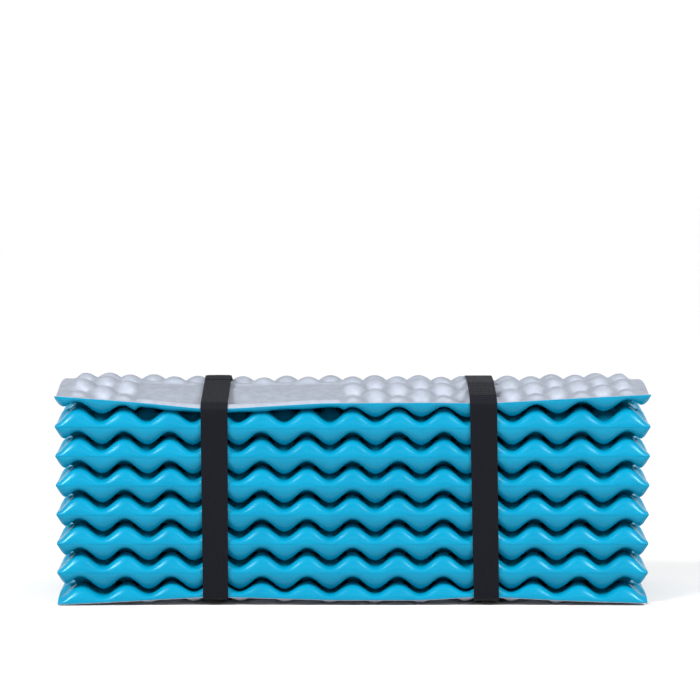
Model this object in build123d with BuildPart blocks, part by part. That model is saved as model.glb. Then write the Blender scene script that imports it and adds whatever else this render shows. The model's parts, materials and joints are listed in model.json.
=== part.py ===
"""A folding foam sleeping pad, folded into its stack and held by two elastic straps.

X is the pad's width, -Y is the front of the stack and Z is up. The origin is on the ground, in the
middle of the stack. All lengths are in millimetres.

The pad is one long sheet of foam with a metallised film on one side. It folds like an accordion into
panels. Panel 1 is at the top and panel 14 at the bottom. At the front, folds have the film inside. At
the back, folds have the bare foam inside.
"""

import os

from build123d import *

# The sheet
PANELS = 14
PAD_WIDTH = 570.0
PANEL_DEPTH = 131.5  # from fold to fold
FILM_THICKNESS = 0.4
FLANGE_THICKNESS = 2.4  # foam and film together, in the flat rim round each panel
BODY_RISE = 4.0  # top of the raised middle of a panel, above the film's plane
BODY_MARGIN = 9.0  # flat rim between a panel's edge and its raised middle
BODY_TAPER = 40.0  # slope of the raised middle's sides, in degrees from upright

# The bumps, in columns along X and rows along Y
COLUMNS = 25
COLUMN_PITCH = PAD_WIDTH / (COLUMNS + 1)
ROWS = 6
ROW_PITCH = 19.9
FOAM_BUMP_RISE = 7.4  # above the raised middle
FOAM_BUMP_RADIUS = 10.5  # where it meets the raised middle
FOAM_BUMP_ROOT = 2.8
FILM_BUMP_RISE = 7.2  # from the film's plane to the flat at the bump's tip
FILM_BUMP_RADIUS = 11.0
FILM_BUMP_FLAT = 0.2  # how much of the round tip the flat takes off
FILM_BUMP_ROOT = 1.0

# The folds
FILM_GAP = 11.4  # between two panels that face each other film to film
FOAM_GAP = 16.8  # between the films' planes of two panels that face each other foam to foam
TOP_FOAM_GAP = 20.5  # the same under panel 1, which has no fold at the front to hold it down
BOTTOM_FOAM_GAP = 18.6  # the same over panel 14
FOLD_STRIP = 5.5  # the strip of a panel that bends towards the fold line
FOLD_END = 1.9  # where that strip stops, short of the fold line
FOLD_CLEARANCE = 0.15  # half the gap between two strips at their fold
FOLD_RADIUS = 1.3  # the round bead of foam on the fold line

# The plain label area on panel 1, where the sheet is thin and has no bumps
LABEL_X_RANGE = (-207.0, -10.0)
LABEL_DEPTH = 84.0  # from the front edge
LABEL_LIP_HEIGHT = 1.2
LABEL_LIP_WIDTH = 3.0
LABEL_WIDTH = LABEL_X_RANGE[1] - LABEL_X_RANGE[0]
LABEL_MIDDLE = -sum(LABEL_X_RANGE) / 2  # in panel 1's own frame, which is turned over

# The straps
STRAP_X = {"left": -132.5, "right": 127.0}
STRAP_WIDTH = 25.0
STRAP_THICKNESS = 1.2
STRAP_CLEARANCE = 0.3
STRAP_CORNER = 6.0
GROOVE_MARGIN = 1.0  # on each side of a strap, where the bottom bumps are pressed flat
SEAM_LENGTH = 28.0  # where the strap's two ends lie one on the other
SEAM_THICKNESS = 1.5 * STRAP_THICKNESS  # the upper end, sunk half-way into the lower one
SEAM_Y = {"left": 30.0, "right": -44.0}
STITCH_LENGTH = 19.0
STITCH_WIDTH = 1.6
STITCH_RISE = 0.3
STITCH_ROWS = 4
STITCH_SPACING = (SEAM_LENGTH - 4 * STITCH_WIDTH) / (STITCH_ROWS - 1)

BOTTOM_PLANE = FILM_BUMP_RISE  # the film's plane on the bottom panel
FRONT = -PANEL_DEPTH / 2
BACK = PANEL_DEPTH / 2


def foam_gap(panel):
    """The gap between a panel and the one that it faces foam to foam."""
    return {1: TOP_FOAM_GAP, 2: TOP_FOAM_GAP, 13: BOTTOM_FOAM_GAP, 14: BOTTOM_FOAM_GAP}.get(
        panel, FOAM_GAP
    )


def plane_height(panel):
    """Height of the film's plane on a panel, with panel 14 at the bottom."""
    if panel == PANELS:
        return BOTTOM_PLANE
    return plane_height(panel + 1) + (foam_gap(panel) if panel % 2 else FILM_GAP)


STACK_TOP = plane_height(1) + FILM_BUMP_RISE


def place(panel):
    """Where a panel's own frame goes: its foam side up on even panels and down on odd ones."""
    turn = 0 if panel % 2 == 0 else 180
    return Location((0, 0, plane_height(panel)), (0, turn, 0))


def bump(base_radius, rise, root, flat):
    """One bump: a cap of a sphere on z = 0, with a root below that sinks into the sheet."""
    full_rise = rise + flat
    radius = (base_radius**2 + full_rise**2) / (2 * full_rise)
    with BuildPart() as cap:
        with Locations((0, 0, full_rise - radius)):
            Sphere(radius)
        split(bisect_by=Plane.XY.offset(-root), keep=Keep.TOP)
        if flat:
            split(bisect_by=Plane.XY.offset(rise), keep=Keep.BOTTOM)
    return cap.part


def bump_centres(first_columns, label):
    """Centres of one side's bumps. Columns of that parity have a bump in the first row."""
    centres = []
    for column in range(COLUMNS):
        x = (column - (COLUMNS - 1) / 2) * COLUMN_PITCH
        for row in range((column + first_columns) % 2, ROWS, 2):
            y = (row - (ROWS - 1) / 2) * ROW_PITCH
            on_label = abs(x - LABEL_MIDDLE) < LABEL_WIDTH / 2 and y < FRONT + LABEL_DEPTH
            if not (label and on_label):
                centres.append((x, y))
    return centres


def sheet_profile(panel, low, high):
    """Section of the sheet between two heights, across the panel, with its strips bent to the folds."""
    front_fold = panel not in (1, PANELS)
    front_drop = FOLD_CLEARANCE - FILM_GAP / 2
    back_rise = foam_gap(panel) / 2 - FOLD_CLEARANCE - FLANGE_THICKNESS
    line = [(FRONT, 0)]
    if front_fold:
        line = [(FRONT + FOLD_END, front_drop), (FRONT + FOLD_STRIP, 0)]
    line += [(BACK - FOLD_STRIP, 0), (BACK - FOLD_END, back_rise)]
    bottom = [(y, z + low) for y, z in line]
    top = [(y, z + high) for y, z in reversed(line)]
    return bottom + top


def sheet(panel, low, high):
    """The sheet between two heights, over the whole width of the pad."""
    with BuildPart() as layer:
        with BuildSketch(Plane.YZ):
            Polygon(*sheet_profile(panel, low, high), align=None)
        extrude(amount=PAD_WIDTH / 2, both=True)
    return layer.part


def strap_grooves(depth):
    """What the straps take off the bumps that they press flat, on the film side."""
    with BuildPart() as grooves:
        with Locations(*[(x, 0, -FILM_BUMP_RISE) for x in STRAP_X.values()]):
            Box(STRAP_WIDTH + 2 * GROOVE_MARGIN, PANEL_DEPTH, 2 * depth)
    return grooves.part


def make_panel(panel):
    """The foam and the film of one panel, in the panel's own frame: film's plane at z = 0, foam up."""
    odd = panel % 2
    label = panel == 1
    groove = STRAP_THICKNESS + STRAP_CLEARANCE
    foam_bump = bump(FOAM_BUMP_RADIUS, FOAM_BUMP_RISE, FOAM_BUMP_ROOT, 0)
    film_bump = bump(FILM_BUMP_RADIUS, FILM_BUMP_RISE, FILM_BUMP_ROOT, FILM_BUMP_FLAT)
    core_bump = bump(
        FILM_BUMP_RADIUS - FILM_THICKNESS, FILM_BUMP_RISE - FILM_THICKNESS, FILM_BUMP_ROOT, 0
    )
    film_centres = bump_centres(1 - odd, label)

    with BuildPart() as foam:
        add(sheet(panel, FILM_THICKNESS, FLANGE_THICKNESS))
        with BuildSketch(Plane.XY.offset(FLANGE_THICKNESS)):
            Rectangle(PAD_WIDTH - 2 * BODY_MARGIN, PANEL_DEPTH - 2 * BODY_MARGIN)
        extrude(amount=BODY_RISE - FLANGE_THICKNESS, taper=BODY_TAPER)
        if label:
            with Locations((LABEL_MIDDLE, FRONT, FLANGE_THICKNESS)):
                Box(
                    LABEL_WIDTH,
                    LABEL_DEPTH,
                    BODY_RISE,
                    align=(Align.CENTER, Align.MIN, Align.MIN),
                    mode=Mode.SUBTRACT,
                )
        with Locations(*[(x, y, BODY_RISE) for x, y in bump_centres(odd, label)]):
            add(foam_bump)
        with Locations(*[Location((x, y, 0), (180, 0, 0)) for x, y in film_centres]):
            add(core_bump)
        if panel == PANELS:
            add(strap_grooves(groove + FILM_THICKNESS), mode=Mode.SUBTRACT)

    with BuildPart() as film:
        add(sheet(panel, 0, FLANGE_THICKNESS / 2))
        with Locations(*[Location((x, y, 0), (180, 0, 0)) for x, y in film_centres]):
            add(film_bump)
        if label:
            with Locations((LABEL_MIDDLE, FRONT, 0)):
                Box(
                    LABEL_WIDTH,
                    LABEL_LIP_WIDTH,
                    LABEL_LIP_HEIGHT,
                    align=(Align.CENTER, Align.MIN, Align.MAX),
                )
        if panel == PANELS:
            add(strap_grooves(groove), mode=Mode.SUBTRACT)
        add(foam.part, mode=Mode.SUBTRACT)
    return foam.part, film.part


def make_fold(upper):
    """The round bead of foam on the fold line between a panel and the one below it."""
    y = BACK if upper % 2 else FRONT
    z = (plane_height(upper) + plane_height(upper + 1)) / 2
    with BuildPart() as bead:
        with BuildSketch(Plane.YZ):
            with Locations((y, z)):
                Circle(FOLD_RADIUS)
        extrude(amount=PAD_WIDTH / 2, both=True)
    return bead.part


def make_strap(side):
    """One elastic strap: a closed band round the stack, its ends lapped on top."""
    half_depth = BACK + FOLD_RADIUS + STRAP_CLEARANCE
    top = STACK_TOP + STRAP_CLEARANCE
    x = STRAP_X[side]
    with BuildPart() as strap:
        with BuildSketch(Plane.YZ.offset(x - STRAP_WIDTH / 2)):
            with Locations((0, (top + STRAP_THICKNESS) / 2)):
                RectangleRounded(
                    2 * (half_depth + STRAP_THICKNESS),
                    top + STRAP_THICKNESS,
                    STRAP_CORNER + STRAP_THICKNESS,
                )
            with Locations((0, (top + STRAP_THICKNESS) / 2)):
                RectangleRounded(
                    2 * half_depth,
                    top - STRAP_THICKNESS,
                    STRAP_CORNER,
                    mode=Mode.SUBTRACT,
                )
        extrude(amount=STRAP_WIDTH)
        with Locations((x, SEAM_Y[side], top + STRAP_THICKNESS / 2)):
            Box(
                STRAP_WIDTH,
                SEAM_LENGTH,
                SEAM_THICKNESS,
                align=(Align.CENTER, Align.CENTER, Align.MIN),
            )
    return strap.part


def make_stitching(side):
    """The rows of thread that hold a strap's lapped ends together."""
    z = STACK_TOP + STRAP_CLEARANCE + 2 * STRAP_THICKNESS
    with BuildPart() as stitching:
        with Locations((STRAP_X[side], SEAM_Y[side], z)):
            with GridLocations(1, STITCH_SPACING, 1, STITCH_ROWS):
                Box(
                    STITCH_LENGTH,
                    STITCH_WIDTH,
                    STITCH_RISE,
                    align=(Align.CENTER, Align.CENTER, Align.MIN),
                )
    return stitching.part


def save(piece, name):
    """Labels a finished piece and writes it under its own name."""
    piece.label = name
    export_step(piece, f"parts/{name}.step")


os.makedirs("parts", exist_ok=True)

# The panels in the middle come in two kinds, one for each facing. The outer two at each end are special.
usual_panels = {1: make_panel(3), 0: make_panel(4)}
special_panels = {number: make_panel(number) for number in (1, 2, 13, 14)}
for number in range(1, PANELS + 1):
    foam_piece, film_piece = special_panels.get(number, usual_panels[number % 2])
    save(place(number) * foam_piece, f"panel_{number:02d}_foam")
    save(place(number) * film_piece, f"panel_{number:02d}_film")

for number in range(1, PANELS):
    save(make_fold(number), f"fold_{number:02d}_{number + 1:02d}")

for strap_side in STRAP_X:
    save(make_strap(strap_side), f"strap_{strap_side}")
    save(make_stitching(strap_side), f"strap_{strap_side}_stitching")
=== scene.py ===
"""The looks of the folding foam sleeping pad: egg-crate foam panels with metallised film, living
hinges, and two elastic straps. Sheet shapes are worked out in millimetres in each panel's own frame
(foam side up, film's plane at zero), then carried to the row frame in metres."""

import json

import bpy
import numpy as np
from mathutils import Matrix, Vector


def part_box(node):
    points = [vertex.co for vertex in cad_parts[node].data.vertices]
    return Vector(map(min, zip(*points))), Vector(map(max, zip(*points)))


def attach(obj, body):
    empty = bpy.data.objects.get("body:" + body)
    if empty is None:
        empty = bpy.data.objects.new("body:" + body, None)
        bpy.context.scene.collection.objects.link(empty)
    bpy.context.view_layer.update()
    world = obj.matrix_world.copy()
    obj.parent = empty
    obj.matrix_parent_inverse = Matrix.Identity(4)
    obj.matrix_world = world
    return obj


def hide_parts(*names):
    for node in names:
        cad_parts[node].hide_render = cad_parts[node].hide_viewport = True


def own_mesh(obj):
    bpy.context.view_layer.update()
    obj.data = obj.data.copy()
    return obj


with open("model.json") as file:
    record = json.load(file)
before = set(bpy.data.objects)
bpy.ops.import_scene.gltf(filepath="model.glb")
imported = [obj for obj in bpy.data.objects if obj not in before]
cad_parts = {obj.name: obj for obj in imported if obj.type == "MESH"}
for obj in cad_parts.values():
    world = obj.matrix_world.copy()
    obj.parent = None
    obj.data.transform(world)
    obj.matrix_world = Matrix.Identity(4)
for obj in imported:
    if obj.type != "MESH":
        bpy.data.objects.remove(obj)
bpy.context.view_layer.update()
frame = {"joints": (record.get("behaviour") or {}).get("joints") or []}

MM = 0.001
JOINTS = {joint["name"]: joint for joint in frame["joints"]}
PANELS = 14
UNFOLD = "fold_13_14_hinge"
HALF_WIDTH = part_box("panel_02_film")[1][0] / MM
HALF_DEPTH = JOINTS[UNFOLD]["pos_m"][1] / MM

# The egg-crate, in millimetres
COLUMN_PITCH = 2 * HALF_WIDTH / 26
FIRST_ROW = 16.0
ROW_PITCH = (2 * HALF_DEPTH - 2 * FIRST_ROW) / 5
FOAM_MEAN, FOAM_WAVE = 6.3, 5.2
FRONT_WAVE = 1.6  # how much fuller the wave is along the front edge
FILM_BUMP, FILM_DIP = 7.2, 1.8
FILM_SPREAD = 0.6  # how far the film's bumps spread past the half-way line between them
FRONT_ROUND = 8.0  # how far back the foam takes to reach its full height in the wave's valleys
CREST_ROUND = 7.0  # how much further it takes on the wave's crests
BACK_ROUND = 8.0  # the same for the film at the folds behind
END_ROUND = 13.0
END_PINCH = 15.0  # how far from its ends a folded pair begins to close
RIM = 1.2  # thickness of the sheet at its free edges
FREE_EDGE = 3.5  # how far the film's free front edge stands out past its plane
FREE_FILL = 1.0  # how much thicker the foam is along a free front edge
FILM_THICK = 0.3
FOLD_GAP = 0.06  # half the gap between two panels on their fold line
LABEL_X = (-207.0, -10.0)
LABEL_DEPTH = 84.0
# The two ridges of the label area's front lip: places behind the edge, and heights
LABEL_LIP = ((0, 2.2, 4.7, 6.3, 8.2, 10.4, 13, 16, 18.5), (0, 1.8, 4.7, 4.6, 2.6, 1.9, 4.3, 3.4, 0))


def smooth(low, high, value):
    """0 below low, 1 above high, and a soft step between."""
    t = np.clip((value - low) / (high - low), 0, 1)
    return t * t * (3 - 2 * t)


def rounded(t):
    """A quarter of a circle: 0 at 0 with an upright tangent, 1 from 1 on."""
    t = np.clip(t, 0, 1)
    return np.sqrt(1 - (1 - t) ** 2)


def bevelled(t):
    """A softer rise than rounded: it leaves 0 at a slant, so that two of them meet in a crease."""
    return np.sin(np.pi / 2 * np.clip(t, 0, 1)) ** 0.85


def graded(length, edge_steps, step):
    """Positions from 0 to length, close together near both ends and even between them."""
    last = edge_steps[-1]
    count = int(round((length - 2 * last) / step))
    middle = np.linspace(last, length - last, count + 1)[1:-1]
    return np.concatenate([edge_steps, middle, length - np.array(edge_steps[::-1])])


ALONG = graded(2 * HALF_WIDTH, [0, 0.3, 1, 2, 3.3, 5, 7, 9.3, 12, 15, 18.3, 21.9], 2.74) - HALF_WIDTH
ACROSS = graded(2 * HALF_DEPTH, [0, 0.15, 0.6, 1.3, 2.2, 3.3, 4.7, 6.3, 8.2, 10.4, 13, 16], 2.49)


def plane_height(panel):
    """Height of a panel's film plane in the row frame, in millimetres."""
    low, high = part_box(f"panel_{panel:02d}_film")
    return low[2] / MM + FILM_BUMP if panel % 2 == 0 else high[2] / MM - FILM_BUMP


def fold_height(upper):
    """Height of the fold line between a panel and the one below it, in millimetres."""
    return JOINTS[f"fold_{upper:02d}_{upper + 1:02d}_hinge"]["pos_m"][2] / MM


def folds_of(panel):
    """Heights of a panel's front and back fold lines above its film plane, foam side up, or None."""
    away = 1 if panel % 2 == 0 else -1
    front = panel if panel % 2 == 0 else panel - 1
    back = panel if panel % 2 else panel - 1
    plane = plane_height(panel)
    return [
        away * (fold_height(upper) - plane) if 1 <= upper < PANELS else None
        for upper in (front, back)
    ]


def surfaces(panel):
    """The foam's upper surface and the film's outer surface over the whole panel, in its own frame."""
    x, d = np.meshgrid(ALONG, ACROSS)
    behind = 2 * HALF_DEPTH - d
    end = HALF_WIDTH - np.abs(x)
    front, back = folds_of(panel)
    facing = 1 if panel % 2 == 0 else -1
    row = np.clip((d - FIRST_ROW) / ROW_PITCH, 0, 5)
    crate = facing * np.cos(np.pi * x / COLUMN_PITCH) * np.cos(np.pi * row)

    ahead = 1 - smooth(12, 40, d)
    if front is None:
        foam = FOAM_MEAN + FREE_FILL * ahead + (FOAM_WAVE + FREE_FILL / 2 * ahead) * crate
    else:
        foam = FOAM_MEAN - FRONT_WAVE / 3 * ahead + (FOAM_WAVE + FRONT_WAVE * ahead) * crate
    swell = np.clip((FILM_SPREAD - crate) / (1 + FILM_SPREAD), 0, 1) ** 0.68
    bumps = FILM_DIP - (FILM_DIP + FILM_BUMP) * swell
    bumps *= smooth(7, 19, end) * smooth(1, 9, d) * smooth(2, 13, behind)
    label = np.zeros_like(x)
    if panel == 1:
        world_x = -x
        label = smooth(LABEL_X[0] - 3, LABEL_X[0] + 3, world_x)
        label *= 1 - smooth(LABEL_X[1] - 3, LABEL_X[1] + 3, world_x)
        label *= 1 - smooth(LABEL_DEPTH - 3, LABEL_DEPTH + 3, d)
    foam = foam * (1 - label) + 2.6 * label
    bumps *= 1 - label

    line = np.zeros_like(x)
    if front is not None:
        pinch = 1 - smooth(0, END_PINCH, end)
        line += (front + FOLD_GAP) * (1 - (1 - pinch) * smooth(1.5, 10, d))
    else:
        line -= FREE_EDGE * (1 - smooth(0, 10, d))
    line += (back - FOLD_GAP - line) * (1 - rounded(behind / BACK_ROUND))
    film = line + bumps
    film -= label * np.interp(d, *LABEL_LIP)

    start = RIM - FREE_EDGE if front is None else front + FOLD_GAP
    reach = FRONT_ROUND + CREST_ROUND * (0.5 + 0.5 * crate)
    foam = start + (foam - start) * rounded(d / reach)
    foam = foam + (back - FOLD_GAP - foam) * (1 - smooth(2, 13, behind))
    rim = line + RIM * (smooth(0, 6, d) if front is not None else 1) * smooth(0, 5, behind)
    foam = rim + (foam - rim) * bevelled(end / END_ROUND)
    foam = np.maximum(foam, film + 0.12)
    return x, d, foam, film


STRAP_CENTRES = [
    (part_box(f"strap_{side}")[0][0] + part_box(f"strap_{side}")[1][0]) / 2 / MM for side in ("left", "right")
]


def tent(x, points):
    """A smooth line through (place, height) points."""
    places, heights = zip(*points)
    grid = np.linspace(-HALF_WIDTH - 1, HALF_WIDTH + 1, 400)
    line = np.interp(grid, places, heights)
    kernel = np.hanning(33)
    padded = np.pad(line, 16, mode="edge")
    line = np.convolve(padded, kernel / kernel.sum(), mode="valid")
    return np.interp(x, grid, line)


# How the edges of the free panels lift at the ends and give way under the straps
TOP_FRONT = [
    (-285, 0.5), (-205, -5), (-146, -10.5), (-119, -10.5), (-30, -5),
    (75, -4.5), (127, -5.5), (205, -1.5), (285, 2),
]
TOP_BACK = [(-285, 8.5), (-205, 6), (-132, 3.5), (-30, 5.5), (70, 5.5), (127, 3.5), (205, 6), (285, 7.5)]
BOTTOM_FRONT = [
    (-285, -3.5), (-205, 0.5), (-146, 4), (-119, 4), (-20, 1),
    (70, 1), (114, 4), (140, 4), (205, 0.5), (285, -2),
]
ROW_BOW = 1.6  # how much the top of the stack bows up at its two ends
BACK_LIFT = 0.45  # share of the top panel's lift that its fold behind takes up


def settle(panel, x, d, z):
    """The small unevenness of the real stack, added to heights in the row frame, in millimetres."""
    share = (PANELS - panel) / PANELS
    z = z + ROW_BOW * share * (x / HALF_WIDTH) ** 2
    if panel == 1:
        front = tent(x, TOP_FRONT)
        back = tent(x, TOP_BACK)
        rise = back + (front - back) * (1 - smooth(0, 75, d)) - 1.8 * smooth(85, 115, d)
        z = z + rise + (BACK_LIFT * back - rise) * smooth(112, 2 * HALF_DEPTH - 1, d)
    if panel == 2:
        z = z + BACK_LIFT * tent(x, TOP_BACK) * smooth(20, 2 * HALF_DEPTH - 1, d)
    if panel == PANELS:
        z = z + tent(x, BOTTOM_FRONT) * (1 - smooth(0, 34, d))
        pressed = sum(1 - smooth(13, 22, np.abs(x - centre)) for centre in STRAP_CENTRES)
        z = np.maximum(z, 0.05 + 0.04 * np.minimum(z, 0) + 1.6 * pressed)
    return z


def to_row(panel, x, d, z):
    """Points of a panel's own frame in the row frame, in metres."""
    side = 1 if panel % 2 == 0 else -1
    height = settle(panel, side * x, d, plane_height(panel) + side * z)
    y = (d - HALF_DEPTH) * (1 - FOLD_GAP / HALF_DEPTH)
    return np.stack([side * x, y, height], axis=-1) * MM


def shell(name, upper, lower):
    """A closed mesh between two grids of points, upper above lower in their own frame."""
    rows, columns = upper.shape[:2]
    points = np.concatenate([upper.reshape(-1, 3), lower.reshape(-1, 3)])
    index = np.arange(rows * columns).reshape(rows, columns)
    quads = np.stack([index[:-1, :-1], index[:-1, 1:], index[1:, 1:], index[1:, :-1]], axis=-1)
    quads = quads.reshape(-1, 4)
    rim = np.concatenate([index[0, :], index[1:, -1], index[-1, -2::-1], index[-2:0:-1, 0]])
    after = np.roll(rim, -1)
    size = rows * columns
    walls = np.stack([rim, rim + size, after + size, after], axis=-1)
    faces = np.concatenate([quads, quads[:, ::-1] + size, walls])
    return mesh_object(name, points, faces)


def mesh_object(name, points, faces):
    """A smooth-shaded mesh object in the scene."""
    mesh = bpy.data.meshes.new(name)
    mesh.vertices.add(len(points))
    mesh.vertices.foreach_set("co", np.ascontiguousarray(points, np.float32).ravel())
    mesh.loops.add(faces.size)
    mesh.loops.foreach_set("vertex_index", np.ascontiguousarray(faces, np.int32).ravel())
    mesh.polygons.add(len(faces))
    mesh.polygons.foreach_set("loop_start", np.arange(0, faces.size, faces.shape[1], dtype=np.int32))
    mesh.update(calc_edges=True)
    mesh.polygons.foreach_set("use_smooth", np.ones(len(faces), bool))
    mesh.validate()
    piece = bpy.data.objects.new(name, mesh)
    bpy.context.scene.collection.objects.link(piece)
    return piece


def node_maker(material):
    """A short way to add shader nodes and join them."""
    tree = material.node_tree

    def add(kind, inputs=None, **settings):
        node = tree.nodes.new(kind)
        for key, value in settings.items():
            setattr(node, key, value)
        for key, value in (inputs or {}).items():
            if isinstance(value, bpy.types.NodeSocket):
                tree.links.new(value, node.inputs[key])
            else:
                node.inputs[key].default_value = value
        return node

    return add


def new_material(name):
    """A material with its Principled shader and the node maker for it."""
    material = bpy.data.materials.new(name)
    material.use_nodes = True
    return material, material.node_tree.nodes["Principled BSDF"], node_maker(material)


def ramp(add, factor, stops):
    """A colour ramp with the given (place, colour) stops."""
    node = add("ShaderNodeValToRGB", {"Fac": factor})
    elements = node.color_ramp.elements
    while len(elements) < len(stops):
        elements.new(0.5)
    for element, (place, colour) in zip(elements, stops):
        element.position = place
        element.color = (*colour, 1)
    return node.outputs["Color"]


def foam_material():
    """Blue closed-cell foam: a satin moulded skin with a fine speckled grain."""
    material, shader, add = new_material("blue_foam")
    place = add("ShaderNodeTexCoord").outputs["Object"]
    grain = add("ShaderNodeTexVoronoi", {"Vector": place, "Scale": 1500.0})
    patches = add("ShaderNodeTexNoise", {"Vector": place, "Scale": 30.0, "Detail": 4.0})
    mix = add("ShaderNodeMath", {0: grain.outputs["Distance"], 1: 0.35}, operation="MULTIPLY")
    total = add("ShaderNodeMath", {0: mix.outputs[0], 1: patches.outputs["Fac"]}, operation="ADD")
    colour = ramp(
        add, total.outputs[0], [(0.35, (0.0002, 0.143, 0.246)), (0.8, (0.0005, 0.174, 0.291))]
    )
    material.node_tree.links.new(colour, shader.inputs["Base Color"])
    rough = add(
        "ShaderNodeMapRange",
        {"Value": grain.outputs["Distance"], "To Min": 0.21, "To Max": 0.31},
    )
    material.node_tree.links.new(rough.outputs["Result"], shader.inputs["Roughness"])
    bump = add(
        "ShaderNodeBump",
        {"Height": grain.outputs["Distance"], "Strength": 0.08, "Distance": 0.0004},
    )
    material.node_tree.links.new(bump.outputs["Normal"], shader.inputs["Normal"])
    shader.inputs["Specular IOR Level"].default_value = 0.26
    shader.inputs["Specular Tint"].default_value = (0.5, 0.85, 1.0, 1)
    return material


def film_material():
    """Thin metallised film: pale lavender-grey, softly bright, faintly crinkled over the bumps."""
    material, shader, add = new_material("silver_film")
    place = add("ShaderNodeTexCoord").outputs["Object"]
    crinkle = add("ShaderNodeTexNoise", {"Vector": place, "Scale": 140.0, "Detail": 6.0})
    fine = add("ShaderNodeTexNoise", {"Vector": place, "Scale": 1300.0, "Detail": 2.0})
    colour = ramp(
        add, crinkle.outputs["Fac"], [(0.3, (0.288, 0.316, 0.368)), (0.7, (0.351, 0.379, 0.438))]
    )
    material.node_tree.links.new(colour, shader.inputs["Base Color"])
    rough = add(
        "ShaderNodeMapRange",
        {"Value": fine.outputs["Fac"], "To Min": 0.58, "To Max": 0.70},
    )
    material.node_tree.links.new(rough.outputs["Result"], shader.inputs["Roughness"])
    height = add(
        "ShaderNodeMath",
        {0: crinkle.outputs["Fac"], 1: fine.outputs["Fac"]},
        operation="ADD",
    )
    bump = add(
        "ShaderNodeBump",
        {"Height": height.outputs[0], "Strength": 0.12, "Distance": 0.0005},
    )
    material.node_tree.links.new(bump.outputs["Normal"], shader.inputs["Normal"])
    shader.inputs["Metallic"].default_value = 0.8
    return material


def webbing_material():
    """Black elastic webbing: matt yarn with a fine cross weave and a little fuzz."""
    material, shader, add = new_material("strap_webbing")
    place = add("ShaderNodeTexCoord").outputs["Object"]
    weave = add(
        "ShaderNodeTexWave",
        {"Vector": place, "Scale": 260.0, "Distortion": 0.6, "Detail": 1.0},
        bands_direction="Z",
    )
    yarn = add("ShaderNodeTexNoise", {"Vector": place, "Scale": 1600.0, "Detail": 3.0})
    height = add(
        "ShaderNodeMath", {0: weave.outputs["Fac"], 1: yarn.outputs["Fac"]}, operation="ADD"
    )
    colour = ramp(
        add, yarn.outputs["Fac"], [(0.3, (0.0008, 0.0012, 0.0029)), (0.75, (0.0021, 0.0029, 0.0066))]
    )
    material.node_tree.links.new(colour, shader.inputs["Base Color"])
    rough = add(
        "ShaderNodeMapRange",
        {"Value": yarn.outputs["Fac"], "To Min": 0.55, "To Max": 0.8},
    )
    material.node_tree.links.new(rough.outputs["Result"], shader.inputs["Roughness"])
    bump = add(
        "ShaderNodeBump", {"Height": height.outputs[0], "Strength": 0.22, "Distance": 0.0003}
    )
    material.node_tree.links.new(bump.outputs["Normal"], shader.inputs["Normal"])
    shader.inputs["Sheen Weight"].default_value = 0.03
    shader.inputs["Sheen Roughness"].default_value = 0.5
    shader.inputs["Specular IOR Level"].default_value = 0.1
    return material


def thread_material():
    """Black twisted sewing thread."""
    material, shader, add = new_material("strap_thread")
    place = add("ShaderNodeTexCoord").outputs["Object"]
    twist = add("ShaderNodeTexNoise", {"Vector": place, "Scale": 2200.0})
    colour = ramp(
        add, twist.outputs["Fac"], [(0.3, (0.003, 0.003, 0.006)), (0.7, (0.010, 0.010, 0.016))]
    )
    material.node_tree.links.new(colour, shader.inputs["Base Color"])
    shader.inputs["Roughness"].default_value = 0.5
    return material


FOAM = foam_material()
FILM = film_material()
WEBBING = webbing_material()
THREAD = thread_material()


def finish_piece(piece, material, slot, body, *nodes):
    """Gives a piece its material, puts it on its body and lets it stand for its CAD nodes."""
    piece.data.materials.clear()
    piece.data.materials.append(material)
    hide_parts(*nodes)
    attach(piece, body)


outlines = []  # points of the whole stack, for the straps to lie on


def make_panel(panel):
    """The foam and the film of one panel."""
    name = f"panel_{panel:02d}"
    x, d, foam, film = surfaces(panel)
    under = np.minimum(FILM_THICK + 0.05, 0.6 * (foam - film))
    film_rows = slice(None) if folds_of(panel)[0] is None else slice(3, None)
    base = film + under
    if folds_of(panel)[0] is not None:
        base[:3] = film[:3]
    top = to_row(panel, x, d, foam)
    outlines.append(top.reshape(-1, 3))
    piece = shell(f"{name}_crate_foam", top, to_row(panel, x, d, base))
    finish_piece(piece, FOAM, "blue_foam", name, f"{name}_foam")

    inner = film + np.minimum(FILM_THICK, 0.5 * (foam - film))
    x, d, inner, outer = (grid[film_rows] for grid in (x, d, inner, film))
    skin = to_row(panel, x, d, outer)
    outlines.append(skin.reshape(-1, 3))
    piece = shell(f"{name}_skin_film", to_row(panel, x, d, inner), skin)
    finish_piece(piece, FILM, "silver_film", name, f"{name}_film")


def make_fold(upper):
    """The thin web of foam on one fold line, tucked just inside it."""
    node = f"fold_{upper:02d}_{upper + 1:02d}"
    radius, inset = 0.5, 0.75
    side = 1 if upper % 2 else -1
    x = ALONG[1:-1]
    turn = np.linspace(0, 2 * np.pi, 9)[:-1]
    y = side * (HALF_DEPTH - inset)
    share = (PANELS - upper - 0.5) / PANELS
    z = fold_height(upper) + ROW_BOW * share * (x / HALF_WIDTH) ** 2
    if upper == 1:
        z = z + BACK_LIFT * tent(x, TOP_BACK)
    ring = np.stack(
        np.broadcast_arrays(
            x[:, None], y + radius * np.cos(turn)[None], z[:, None] + 0.25 * radius * np.sin(turn)[None]
        ),
        axis=-1,
    )
    sides = len(turn)
    index = np.arange(len(x) * sides).reshape(len(x), sides)
    after = np.roll(index, -1, axis=1)
    faces = np.stack([index[:-1], after[:-1], after[1:], index[1:]], axis=-1).reshape(-1, 4)
    piece = mesh_object(f"{node}_web", ring.reshape(-1, 3) * MM, faces)
    finish_piece(piece, FOAM, "blue_foam", f"panel_{upper:02d}", node)


for number in range(1, PANELS + 1):
    make_panel(number)
for number in range(1, PANELS):
    make_fold(number)


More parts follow.
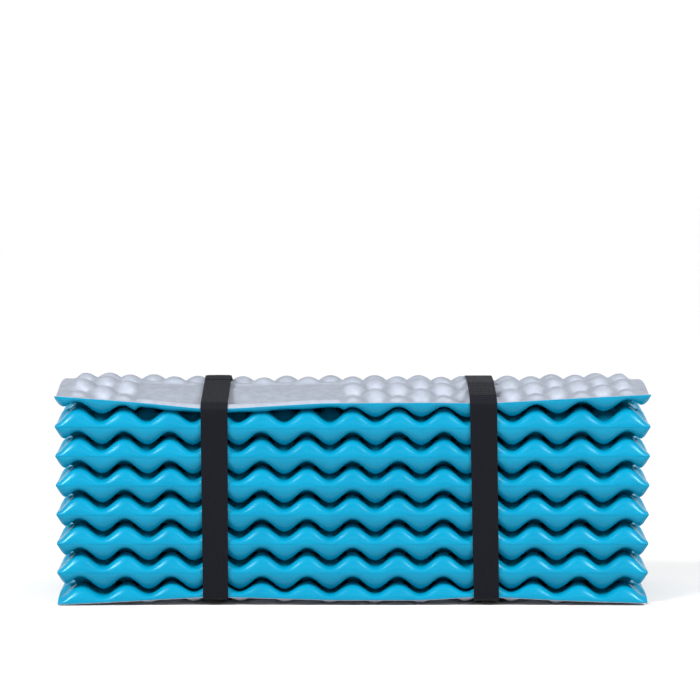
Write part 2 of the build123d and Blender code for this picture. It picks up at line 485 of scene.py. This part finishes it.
# The straps
STRAP_THICK = 0.95
STRAP_CLEAR = 0.9
RIBS = 11
SEAM_SPAN = 28.0  # how far a strap's two ends lie one on the other
STITCH_ROWS = 4
STACK = np.concatenate(outlines) / MM


def hull(points):
    """The convex outline of points in a plane, anticlockwise."""
    points = sorted(set(map(tuple, np.round(points, 3))))

    def half(sequence):
        chain = []
        for p in sequence:
            while len(chain) > 1:
                (ax, ay), (bx, by) = chain[-2], chain[-1]
                if (bx - ax) * (p[1] - ay) - (by - ay) * (p[0] - ax) > 0:
                    break
                chain.pop()
            chain.append(p)
        return chain[:-1]

    return np.array(half(points) + half(points[::-1]))


def even_loop(points, count):
    """A closed line through points, divided into steps of the same length."""
    closed = np.concatenate([points, points[:1]])
    reach = np.concatenate([[0], np.cumsum(np.linalg.norm(np.diff(closed, axis=0), axis=1))])
    at = np.linspace(0, reach[-1], count, endpoint=False)
    return np.stack([np.interp(at, reach, closed[:, k]) for k in (0, 1)], axis=-1)


def strap_line(x_low, x_high, count=460):
    """The tight loop that an elastic band takes round the stack between two places along it."""
    near = STACK[(STACK[:, 0] > x_low) & (STACK[:, 0] < x_high)]
    tight = hull(near[:, 1:])
    turn = np.linspace(0, 2 * np.pi, 24, endpoint=False)
    circle = STRAP_CLEAR * np.stack([np.cos(turn), np.sin(turn)], axis=-1)
    line = even_loop(hull((tight[:, None] + circle[None]).reshape(-1, 2)), count)
    for _ in range(4):
        line = (np.roll(line, 1, axis=0) + 2 * line + np.roll(line, -1, axis=0)) / 4
    along = np.roll(line, -1, axis=0) - np.roll(line, 1, axis=0)
    along /= np.linalg.norm(along, axis=1)[:, None]
    return line, along


class Strap:
    """The run of one elastic strap: a tight line round the stack, and where its width lies on that."""

    def __init__(self, side, centre, lean, half_width):
        self.side = side
        low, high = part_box(f"strap_{side}")
        self.line, self.along = strap_line(low[0] / MM, high[0] / MM)
        height = self.line[:, 1] / self.line[:, 1].max() * 2 - 1
        self.middle = centre + lean * height
        self.half = half_width * (1 + 0.035 * height)
        seam_low, seam_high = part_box(f"strap_{side}_stitching")
        self.seam = (seam_low[1] + seam_high[1]) / 2 / MM

    def points(self, rows, across, offset):
        """Points on the strap: rows along the line, across from -1 to 1, offset out from the line."""
        outward = np.stack([self.along[rows, 1], -self.along[rows, 0]], axis=-1)
        x = self.middle[rows, None] + self.half[rows, None] * across
        y = self.line[rows, 0, None] + outward[:, :1] * offset
        z = self.line[rows, 1, None] + outward[:, 1:] * offset
        z = np.maximum(z, 0.02 + STRAP_THICK - offset)
        return np.stack(np.broadcast_arrays(x, y, z), axis=-1)

    def seam_rows(self):
        """Which of the line's points lie where the strap's ends are lapped, on top of the stack."""
        on_top = self.line[:, 1] > 0.9 * self.line[:, 1].max()
        near = np.abs(self.line[:, 0] - self.seam) < SEAM_SPAN / 2
        return np.flatnonzero(on_top & near)


ACROSS_STRAP = np.linspace(-1, 1, RIBS * 6 + 1)
RIB_SHAPE = 0.34 * np.abs(np.sin(np.pi * RIBS * (ACROSS_STRAP + 1) / 2)) ** 0.8 - 0.2
SELVEDGE = rounded((1 - np.abs(ACROSS_STRAP)) / 0.05)


def band_faces(rows, columns, closed):
    """Faces of a band of two layers of points, outer first. A closed band runs back to its start."""
    size = rows * columns
    index = np.arange(size).reshape(rows, columns)
    here = index if closed else index[:-1]
    after = np.roll(index, -1, axis=0) if closed else index[1:]
    quads = np.stack([here[:, :-1], after[:, :-1], after[:, 1:], here[:, 1:]], axis=-1).reshape(-1, 4)
    low = np.stack([here[:, 0], here[:, 0] + size, after[:, 0] + size, after[:, 0]], axis=-1)
    high = np.stack([here[:, -1], after[:, -1], after[:, -1] + size, here[:, -1] + size], axis=-1)
    faces = [quads[:, ::-1], quads + size, low[:, ::-1], high[:, ::-1]]
    if not closed:
        for row, turn in ((0, 1), (-1, -1)):
            start, end = index[row, :-1], index[row, 1:]
            faces.append(np.stack([start, end, end + size, start + size], axis=-1)[:, ::turn])
    return np.concatenate(faces)


def make_strap(strap):
    """One elastic strap: ribbed webbing round the stack, with its ends lapped on top."""
    everywhere = np.arange(len(strap.line))
    bulge = (STRAP_THICK / 2 + RIB_SHAPE) * SELVEDGE
    outer = strap.points(everywhere, ACROSS_STRAP, STRAP_THICK / 2 + bulge)
    inner = strap.points(everywhere, ACROSS_STRAP, STRAP_THICK / 2 * (1 - SELVEDGE))
    points = [outer.reshape(-1, 3), inner.reshape(-1, 3)]
    faces = [band_faces(len(everywhere), len(ACROSS_STRAP), closed=True)]

    rows = strap.seam_rows()
    flat = rounded(np.minimum(np.arange(len(rows)), np.arange(len(rows))[::-1]) / 6)[:, None]
    lap = strap.points(rows, 0.985 * ACROSS_STRAP, STRAP_THICK * (1.1 + 0.3 * flat) + bulge)
    under = strap.points(rows, 0.985 * ACROSS_STRAP, STRAP_THICK + 0.05 - 0.2 * (1 - SELVEDGE))
    faces.append(band_faces(len(rows), len(ACROSS_STRAP), closed=False) + 2 * len(points[0]))
    points += [lap.reshape(-1, 3), under.reshape(-1, 3)]
    piece = mesh_object(f"strap_{strap.side}_webbing", np.concatenate(points) * MM, np.concatenate(faces))
    finish_piece(piece, WEBBING, "strap_webbing", f"strap_{strap.side}", f"strap_{strap.side}")
    collapse(piece)


def collapse(piece):
    """Gives a strap piece a mesh of its own."""
    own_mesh(piece)


def stitch(centre, run, up, length, thick):
    """One stitch: a short rounded length of thread that lies along run, with its ends tucked down."""
    side = np.cross(up, run)
    turns, steps = 8, 7
    points = []
    for k in range(steps):
        t = -1 + 2 * k / (steps - 1)
        radius = thick * np.sqrt(max(1 - t**4, 0.02))
        middle = centre + run * (t * length / 2) + up * (0.55 * thick * (1 - t * t))
        for j in range(turns):
            angle = 2 * np.pi * j / turns
            points.append(middle + radius * (np.cos(angle) * side + 0.8 * np.sin(angle) * up))
    index = np.arange(turns * steps).reshape(steps, turns)
    after = np.roll(index, -1, axis=1)
    faces = np.stack([index[:-1], after[:-1], after[1:], index[1:]], axis=-1).reshape(-1, 4)
    cap = np.array([(0, 1, 2, 3), (0, 3, 4, 7), (4, 5, 6, 7)])
    faces = np.concatenate([faces, index[0][cap[:, ::-1]], index[-1][cap]])
    return np.array(points), faces


def make_stitching(strap):
    """Zigzag rows of thread through a strap's lapped ends, with two loose tails on the right one."""
    rows = strap.seam_rows()
    points, faces, count = [], [], 0
    pitch, thick = 1.9, 0.26

    def add(centre, run, up, length):
        nonlocal count
        p, f = stitch(centre, run, up, length, thick)
        points.append(p)
        faces.append(f + count)
        count += len(p)

    for row in np.linspace(rows[3], rows[-4], STITCH_ROWS).astype(int):
        along = np.array([0, *strap.along[row]])
        up = np.array([0, along[2], -along[1]])
        for k, x in enumerate(np.arange(-9.5, 9.6, pitch)):
            centre = np.array([strap.middle[row] + x, *strap.line[row]]) + up * (2 * STRAP_THICK + 0.12)
            run = np.array([1.0, 0, 0]) + (0.8 if k % 2 else -0.8) * along
            add(centre, run / np.linalg.norm(run), up, 2.5)
    for row, length in ((rows[2], 3.2), (rows[-5], 2.4)) if strap.side == "right" else ():
        edge = np.array([strap.middle[row] + strap.half[row], *strap.line[row]])
        run = np.array([0.85, -0.35, -0.4])
        up = np.array([0.3, 0.1, 0.95])
        add(edge + (0.2, 0, 1.1 * STRAP_THICK), run / np.linalg.norm(run), up / np.linalg.norm(up), length)
    piece = mesh_object(f"strap_{strap.side}_thread", np.concatenate(points) * MM, np.concatenate(faces))
    node = f"strap_{strap.side}_stitching"
    finish_piece(piece, THREAD, "strap_thread", f"strap_{strap.side}", node)
    collapse(piece)


for strap_run in (Strap("left", -132.3, 0.0, 12.6), Strap("right", 127.0, -2.4, 12.6)):
    make_strap(strap_run)
    make_stitching(strap_run)


# The floor, the light and the camera
STACK_MIDDLE = 0.1  # half the stack's height in metres, where the camera and the lamps look


def make_floor():
    """A plain pale floor that curves up into a low backdrop all round, a long way off."""
    material, shader, _ = new_material("pale_floor")
    shader.inputs["Base Color"].default_value = (0.62, 0.62, 0.62, 1)
    shader.inputs["Roughness"].default_value = 1.0
    shader.inputs["Specular IOR Level"].default_value = 0.0
    curve = np.radians(np.arange(0, 91, 5))
    bend, flat = 3.0, 7.0
    radius = np.concatenate([[0.0], flat + bend * np.sin(curve)])
    height = np.concatenate([[0.0], bend * (1 - np.cos(curve))]) - 0.0006
    turn = np.linspace(0, 2 * np.pi, 73)[:-1]
    points = np.stack(
        np.broadcast_arrays(
            radius[:, None] * np.cos(turn), radius[:, None] * np.sin(turn), height[:, None]
        ),
        axis=-1,
    )
    index = np.arange(points[..., 0].size).reshape(points.shape[:2])
    after = np.roll(index, -1, axis=1)
    faces = np.stack([index[:-1], index[1:], after[1:], after[:-1]], axis=-1).reshape(-1, 4)
    floor = mesh_object("floor", points.reshape(-1, 3), faces)
    floor.data.materials.append(material)


def add_sun(name, toward, strength, softness):
    """A soft distant lamp whose light comes from the given direction."""
    data = bpy.data.lights.new(name, "SUN")
    data.energy = strength
    data.angle = np.radians(softness)
    lamp = bpy.data.objects.new(name, data)
    lamp.rotation_euler = Vector(toward).to_track_quat("Z", "Y").to_euler()
    bpy.context.scene.collection.objects.link(lamp)


def add_panel_light(name, place, size, power):
    """A soft square lamp that looks at the middle of the stack."""
    data = bpy.data.lights.new(name, "AREA")
    data.energy = power
    data.size = size
    lamp = bpy.data.objects.new(name, data)
    lamp.location = place
    lamp.rotation_euler = (Vector(place) - Vector((0, 0, STACK_MIDDLE))).to_track_quat("Z", "Y").to_euler()
    bpy.context.scene.collection.objects.link(lamp)


def make_light():
    """Even white light from all round, with soft lamps above, in front and to the sides."""
    world = bpy.data.worlds.new("studio")
    world.use_nodes = True
    background = world.node_tree.nodes["Background"]
    background.inputs["Color"].default_value = (1, 1, 1, 1)
    background.inputs["Strength"].default_value = 0.34
    bpy.context.scene.world = world
    add_sun("key", (-0.65, -0.5, 0.85), 2.4, 15)
    add_sun("second", (0.65, -0.5, 0.85), 1.7, 15)
    add_sun("front", (0.1, -1.0, 0.3), 0.45, 30)
    add_sun("top", (0.0, 0.1, 1.0), 0.7, 70)
    add_panel_light("left", (-0.95, -0.75, 0.95), 0.3, 16)
    add_panel_light("right", (0.95, -0.75, 0.95), 0.3, 15)


def make_camera():
    """A long lens, a little above the stack, that looks straight at its front."""
    data = bpy.data.cameras.new("camera")
    data.lens = 143.8
    data.shift_y = 0.2028
    data.shift_x = -0.0037
    camera = bpy.data.objects.new("camera", data)
    target = Vector((0, 0, STACK_MIDDLE))
    distance, elevation = 2.75, np.radians(9.6)
    camera.location = target + Vector((0, -np.cos(elevation), np.sin(elevation))) * distance
    camera.rotation_euler = (target - camera.location).to_track_quat("-Z", "Y").to_euler()
    bpy.context.scene.collection.objects.link(camera)
    bpy.context.scene.camera = camera


make_floor()
make_light()
make_camera()
bpy.context.scene.view_settings.view_transform = "Standard"
